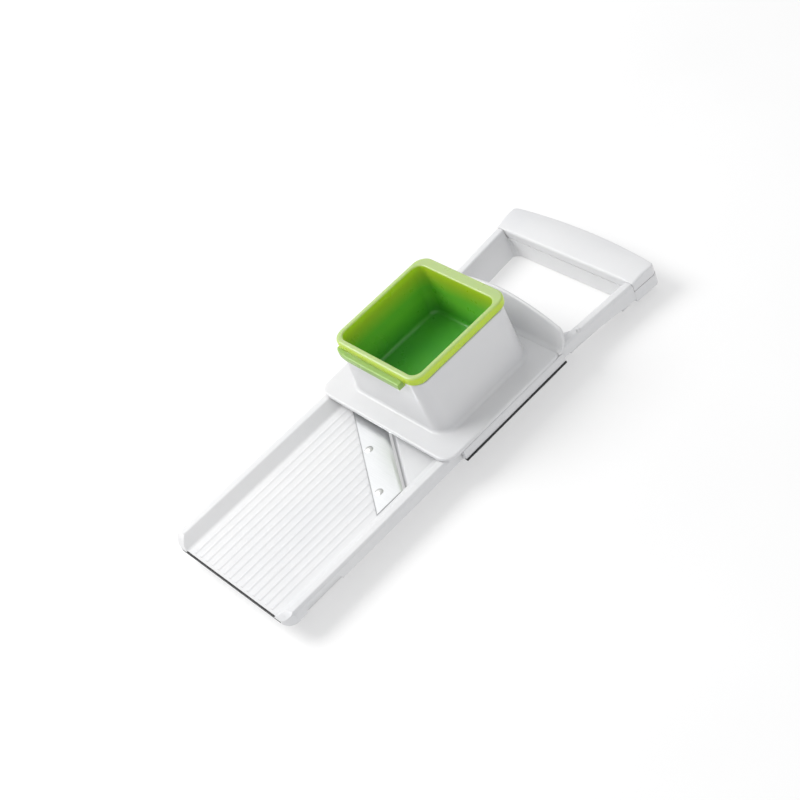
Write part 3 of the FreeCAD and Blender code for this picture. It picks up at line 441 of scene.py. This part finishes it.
def guard_rings():
    """The raised rear wall, leaning back, with round ends: sections in Y and Z, one for each X."""
    foot_y = FLANGE_MID + FLANGE_SIZE[1] - 4.0
    lean, thick, top_r = 0.62, 2.4, 1.0
    toe_rise, toe_reach = 1.8, 2.8
    crown, shoulder, tip = 42.9, 36.3, 27.5
    end, end_r = FLANGE_SIZE[0], 7.0
    straight = end - end_r
    toe_top = FLANGE_HIGH + toe_rise

    def front(z):
        return foot_y + 1.2 + lean * (z - FLANGE_HIGH)

    def crest(x):
        """The wall's height: bowed along its length, and falling to the tip round its ends."""
        u = min(abs(x) / straight, 1.0)
        v = max(abs(x) - straight, 0.0) / end_r
        bow = crown - (crown - shoulder) * (0.25 * u + 0.75 * u * u)
        return tip + (bow - tip) * math.sqrt(max(1.0 - v * v, 0.0))

    spots = [straight * i / 16.0 for i in range(16)] + [end - end_r * (1 - math.sin(a)) for a in quarter(10)]
    rings = []
    for x in sorted(set([-x for x in spots] + spots)):
        rim = crest(x) - top_r
        section = [(foot_y - 1.6, FLANGE_LOW + 1.0), (foot_y - 1.6, FLANGE_HIGH)]
        for rise, back in quarter_arc(1.0, 5):
            z = FLANGE_HIGH + toe_rise * rise
            section.append((front(z) - toe_reach * back, z))
        for i in range(1, 7):
            z = toe_top + (rim - toe_top) * i / 6.0
            section.append((front(z), z))
        for i in range(1, 8):
            a = math.pi * i / 8
            z = rim + top_r * math.sin(a)
            section.append((front(z) + thick / 2 * (1 - math.cos(a)), z))
        for i in range(7):
            z = rim + (FLANGE_LOW + 0.5 - rim) * i / 6.0
            section.append((front(z) + thick, z))
        section.append((front(FLANGE_LOW) + thick - 0.5, FLANGE_LOW + 0.05))
        section.append((foot_y + 1.0, FLANGE_LOW + 0.05))
        rings.append([Vector((x, y, z)) for y, z in section])
    return rings


bm = bmesh.new()
skin(bm, carriage_shell(), close=True)
skin(bm, guard_rings(), caps=True)
finish_mesh(bm, "carriage", "carriage", CARRIAGE, ["carriage_body"])


# Pusher cup --------------------------------------------------------------------------
def cup_rings():
    """Outside, rim and inside of the cup as one skin, closed by the floor inside and below."""
    bottom, top, rim_low, rim_edge = CUP_LOW.z, CUP_HIGH.z, 66.3, 68.5
    outer_size, mouth_size, floor_size = (37.3, 38.0, 6.6), (36.1, 36.8, 6.4), (34.6, 35.3)
    taper = 1.5
    bottom_r, neck_r, lip_r, rim_r, mouth_r, floor_r = 1.0, 0.6, 0.9, 1.7, 1.1, 3.0
    rings = []

    def outer(inset, z):
        half_x, half_y, r = outer_size
        rings.append(rounded_ring((half_x - inset, half_y - inset, r - min(inset, 5.0)), z, WELL_MID))

    def rim(inset, z):
        rings.append(rounded_ring(RIM_SIZE, z, RIM_MID, -inset))

    def inside(out, z):
        t = (top - z) / (top - CUP_FLOOR)
        half_x, half_y, r = mouth_size
        rings.append(rounded_ring((half_x - taper * t, half_y - taper * t, r), z, WELL_MID, out))

    for inset in (30.0, 20.0, 10.0, 3.0):
        outer(inset, bottom)
    for rise, inset in quarter_arc(bottom_r, 4):
        outer(inset, bottom + rise)
    for z in (40.0, 52.0):
        outer(0.0, z)
    for out, drop in quarter_arc(neck_r, 3):
        outer(-out, rim_low - drop)
    for rise, inset in quarter_arc(lip_r, 4):
        rim(inset, rim_low + rise)
    rim(0.0, rim_edge)
    for inset, drop in quarter_arc(rim_r, 7):
        rim(inset, top - drop)
    for drop, out in quarter_arc(mouth_r, 6):
        inside(out, top - drop)
    for z in (66.0, 60.0, 52.0, 44.0, 38.0):
        inside(0.0, z)
    for inset, rise in quarter_arc(floor_r, 8):
        inside(-inset, CUP_FLOOR + rise)
    for inset, r in ((5.0, 4.0), (12.0, 4.0), (20.0, 2.0), (28.0, 2.0)):
        size = (floor_size[0] - inset, floor_size[1] - inset, r)
        rings.append(rounded_ring(size, CUP_FLOOR, WELL_MID))
    return rings


def tab_rings():
    """The ledge under the front of the rim: bowed at the left, nearly square at the right."""
    left, right, root, ledge = -35.0, 27.0, RIM_FRONT + 0.8, RIM_FRONT - 4.2
    bow_x, bow_y, corner_r, edge_r = 13.0, 4.6, 0.8, 0.9
    outline = [(left, root)]
    outline += [(left + bow_x * (1 - math.cos(a)), ledge + bow_y * (1 - math.sin(a))) for a in quarter(12)]
    bow_end, corner = left + bow_x, right - corner_r
    outline += [(bow_end + (corner - bow_end) * i / 14.0, ledge) for i in range(1, 15)]
    outline += [(right - short, ledge + rise) for rise, short in quarter_arc(corner_r, 4)[1:]]
    outline.append((right, root))
    levels = [(inset, TAB_LOW + edge_r * rise) for rise, inset in quarter_arc(1.0, 4)]
    levels += [(inset, TAB_HIGH - edge_r * drop) for inset, drop in quarter_arc(1.0, 4)]
    rings = []
    for inset, z in levels:
        ring = []
        for x, y in outline:
            depth = max(root - y - inset, 0.0)
            ring.append(Vector((min(max(x, left + inset), right - inset), root - depth, z)))
        rings.append(ring)
    return rings


bm = bmesh.new()
skin(bm, cup_rings(), caps=True)
skin(bm, tab_rings(), caps=True)
finish_mesh(bm, "cup", "pusher", GREEN, ["pusher_cup"])


# Handle cover ---------------------------------------------------------------------
def fall(radius, distance):
    """How far a rounded edge of this radius has dropped at a distance from the border."""
    if distance >= radius:
        return 0.0
    return radius - math.sqrt(max(radius ** 2 - (radius - distance) ** 2, 0.0))


def cover_mesh(bm):
    """The domed cap of the bar: level with the arms, round elsewhere, with a shadow gap at its seam."""
    cover_low, cover_high = extent("handle_cover")
    low, front, crown = cover_low.z, cover_low.y, cover_high.y
    corner = crown - 5.6                            # Y where the bowed rear edge meets the ends
    half, flare = 63.9, 1.58                        # half length, and how much shorter it is at the front
    side, top, rear_drop = 22.0, 24.1, 0.6          # heights of the border and the dome
    edge, arm_edge, plan_r = 1.6, 0.2, 4.0          # edge radii: free, against the arms, seen from above
    arm_in, arm_clear = 57.4, 54.5                  # inner side of an arm, and where the free edge begins
    gap = 0.25
    seam = ((0.0, low + 0.8), (gap, low + 0.6), (gap, low + 0.02))
    border = [0.0, 0.08, 0.25, 0.5, 0.85, 1.3, 2.0]    # rows of points lie closer together near the edges
    end_border = border + [3.0, 4.2]
    sagitta = crown - corner
    bow = (half ** 2 + sagitta ** 2) / (2.0 * sagitta)

    def rear(x):
        return crown - (bow - math.sqrt(bow ** 2 - x * x)) - fall(plan_r, half - abs(x))

    def splay(x, y):
        """The ends of the bar run in line with the arms, which spread outwards."""
        return x * (1.0 - flare / half * min(max((corner - y) / (corner - front), 0.0), 1.0))

    def height(x, y):
        v = (y - front) / (crown - front)
        on_arm = min(max((abs(x) - arm_clear) / (arm_in - arm_clear), 0.0), 1.0)
        front_edge = edge - (edge - arm_edge) * on_arm
        drop = max(fall(front_edge, y - front), fall(edge, rear(x) - y), fall(edge, half - abs(x)))
        return side + (top - side) * 4.0 * v * (1.0 - v) - rear_drop * v - drop

    inner_half = half - end_border[-1]
    xs = [half - d for d in end_border] + [inner_half * (1.0 - i / 18.0) for i in range(1, 19)]
    rows = []
    for x in sorted(set([round(x, 4) for x in xs] + [round(-x, 4) for x in xs])):
        depth = rear(x) - front
        steps = border + [border[-1] + (depth - 2.0 * border[-1]) * i / 9.0 for i in range(1, 9)]
        ys = [front + d for d in steps] + [rear(x) - d for d in reversed(border)]
        rows.append([Vector((splay(x, y), y, height(x, y))) for y in ys])
    grid = [[bm.verts.new(p * MM) for p in row] for row in rows]
    for a, b in zip(grid, grid[1:]):
        for i in range(len(a) - 1):
            bm.faces.new((a[i], b[i], b[i + 1], a[i + 1]))
    top_loop = [row[0] for row in grid] + grid[-1][1:] + [row[-1] for row in reversed(grid[:-1])]
    top_loop += list(reversed(grid[0]))[1:-1]
    middle, half_y = (front + crown) / 2.0, (crown - front) / 2.0
    last = top_loop
    for inset, z in seam:
        ring = []
        for v in top_loop:
            x, y = v.co.x / MM, v.co.y / MM
            inward = Vector((x * (1.0 - inset / half), y + (middle - y) * inset / half_y, z))
            ring.append(bm.verts.new(inward * MM))
        for i in range(len(ring)):
            j = (i + 1) % len(ring)
            bm.faces.new((last[i], last[j], ring[j], ring[i]))
        last = ring
    bm.faces.new(last)


bm = bmesh.new()
cover_mesh(bm)
finish_mesh(bm, "bar_cover", "frame", BODY, ["handle_cover"])


# Front strip ------------------------------------------------------------------------
def strip_rings():
    """A soft bead along the front edge of the tray, with round ends: sections in Y and Z."""
    strip_low, strip_high = extent("front_strip")
    front, rear = strip_low.y + 0.02, strip_high.y - 0.15
    low, high = strip_low.z + 0.1, strip_high.z + 0.45
    half, straight = strip_high.x - 0.1, strip_high.x - 0.8
    round_r, end_r, end_loss = 0.36, 0.5, 0.45
    middle_y, middle_z = (front + rear) / 2.0, (low + high) / 2.0
    section = []
    for y, z, start in ((rear, high, 0), (front, high, 90), (front, low, 180), (rear, low, 270)):
        cy = y + math.copysign(round_r, middle_y - y)
        cz = z + math.copysign(round_r, middle_z - z)
        for a in quarter(4):
            turn = math.radians(start) + a
            section.append((cy + round_r * math.cos(turn), cz + round_r * math.sin(turn)))
    ends = [(half - end_r * short, 1.0 - end_loss * fade) for fade, short in quarter_arc(1.0, 4)]
    spots = [(-x, size) for x, size in ends] + ends
    spots += [(straight * (i / 15.0 - 1.0), 1.0) for i in range(31)]
    rings = []
    for x, size in sorted(spots):
        rings.append([Vector((x, middle_y + (y - middle_y) * size, middle_z + (z - middle_z) * size))
                      for y, z in section])
    return rings


bm = bmesh.new()
skin(bm, strip_rings(), caps=True)
finish_mesh(bm, "edge_bead", "frame", BLACK, ["front_strip"])


# CAD nodes that keep their shape ----------------------------------------------------
KEPT = [
    (BODY, ["body_frame", "runup_plate", "thickness_shaft"]),
    (CARRIAGE, ["guide_left", "guide_right"]),
    (BLACK, ["thickness_wheel", "glide_strip_left", "glide_strip_right"]),
    (BLADE, ["blade"]),
    (GREEN, ["pusher_foot"]),
    (STEEL, ["blade_rivets", "handle_screws", "wheel_screw", "shaft_clip"]),
    (STEEL, ["runup_pin_left", "runup_pin_right"]),
    (GREY, ["foot_" + end + "_" + side for end in ("front", "rear") for side in ("left", "right")]),
]
for material, names in KEPT:
    for node in names:
        keep(node, material)


# Studio -----------------------------------------------------------------------------
CAMERA_PLACE = (0.68170, -0.34871, 0.74079)
CAMERA_AZIMUTH, CAMERA_ELEVATION, CAMERA_ROLL = 63.7147, 43.1123, -25.1095    # degrees
CAMERA_LENS = 73.87


def studio_floor():
    bm = bmesh.new()
    bmesh.ops.create_grid(bm, x_segments=8, y_segments=8, size=2.5)
    mesh = bpy.data.meshes.new("floor")
    bm.to_mesh(mesh)
    bm.free()
    floor = bpy.data.objects.new("floor", mesh)
    mesh.materials.append(table_top("floor_finish"))
    bpy.context.scene.collection.objects.link(floor)


def area_light(name, place, size, power, colour=(1, 1, 1)):
    """A round soft light that shines at the middle of the slicer."""
    target = Vector((0.0, 0.0, 0.02))
    light = bpy.data.lights.new(name, "AREA")
    light.shape = "DISK"
    light.size = size
    light.energy = power
    light.color = colour
    lamp = bpy.data.objects.new(name, light)
    bpy.context.scene.collection.objects.link(lamp)
    lamp.location = place
    lamp.rotation_euler = (target - Vector(place)).to_track_quat("-Z", "Y").to_euler()


def studio_light():
    world = bpy.data.worlds.new("studio")
    bpy.context.scene.world = world
    world.use_nodes = True
    sky = world.node_tree.nodes["Background"]
    sky.inputs["Color"].default_value = (0.985, 0.99, 1.0, 1.0)
    sky.inputs["Strength"].default_value = 0.60
    area_light("key", (-0.80, -0.45, 1.12), size=0.9, power=15.4, colour=(1.0, 0.995, 0.985))
    area_light("card", (-0.98, 0.45, 1.02), size=1.0, power=1.4)
    area_light("fill", (1.05, 0.15, 0.75), size=0.9, power=1.6)


def studio_camera():
    data = bpy.data.cameras.new("camera")
    data.sensor_width = 36.0
    data.lens = CAMERA_LENS
    data.clip_start = 0.01
    camera = bpy.data.objects.new("camera", data)
    bpy.context.scene.collection.objects.link(camera)
    pose = Matrix.Translation(CAMERA_PLACE)
    for degrees, axis in ((CAMERA_AZIMUTH, "Z"), (90.0 - CAMERA_ELEVATION, "X"), (CAMERA_ROLL, "Z")):
        pose = pose @ Matrix.Rotation(math.radians(degrees), 4, axis)
    camera.matrix_world = pose
    bpy.context.scene.camera = camera


studio_floor()
studio_light()
studio_camera()
bpy.context.scene.view_settings.view_transform = "Standard"

bpy.context.view_layer.update()
